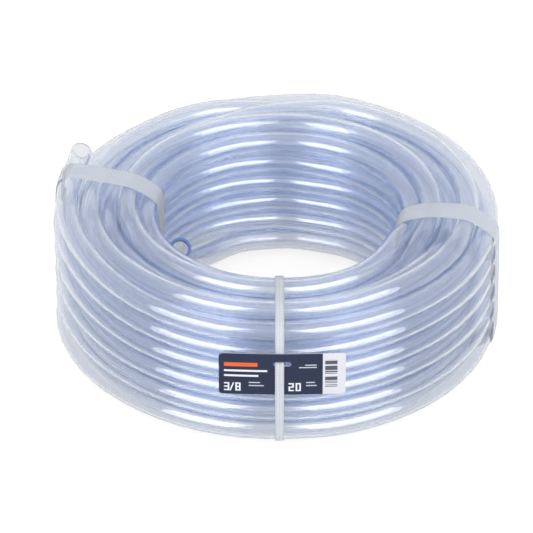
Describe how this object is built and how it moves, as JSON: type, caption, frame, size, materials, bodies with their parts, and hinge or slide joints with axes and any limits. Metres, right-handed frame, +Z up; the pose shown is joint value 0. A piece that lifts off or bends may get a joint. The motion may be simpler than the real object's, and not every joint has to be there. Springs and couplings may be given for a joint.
{
  "type": "water level hose",
  "caption": "Round coil of clear hose for a water level, held by flat straps, with a printed tag threaded on the front strap.",
  "frame": {"origin": "on the coil's axis, at the surface that the coil lies on", "axes": "+Z up the coil's axis, -Y to the front where the tag is, +X to the right seen from the front"},
  "size_m": [0.258, 0.2584, 0.0972],
  "materials": {
    "hose": "clear extruded PVC, faintly blue, glossy",
    "strap": "milky polypropylene strapping with fine lengthwise ribs",
    "tag": "printed plastic card, satin"
  },
  "bodies": {
    "coil": {"hose_inner_end": "hose", "hose_inner_turns": "hose", "hose_core_turns": "hose", "hose_outer_turns": "hose", "hose_outer_end": "hose", "front_strap": "strap", "left_strap": "strap", "right_strap": "strap"},
    "tag": {"tag": "tag"}
  },
  "joints": [
    {"name": "tag_swing", "type": "hinge", "parent": "coil", "child": "tag", "pos_m": [0.0015, -0.129, 0.064], "axis": [0, 1, 0], "range_deg": [-7, 7]}
  ]
}
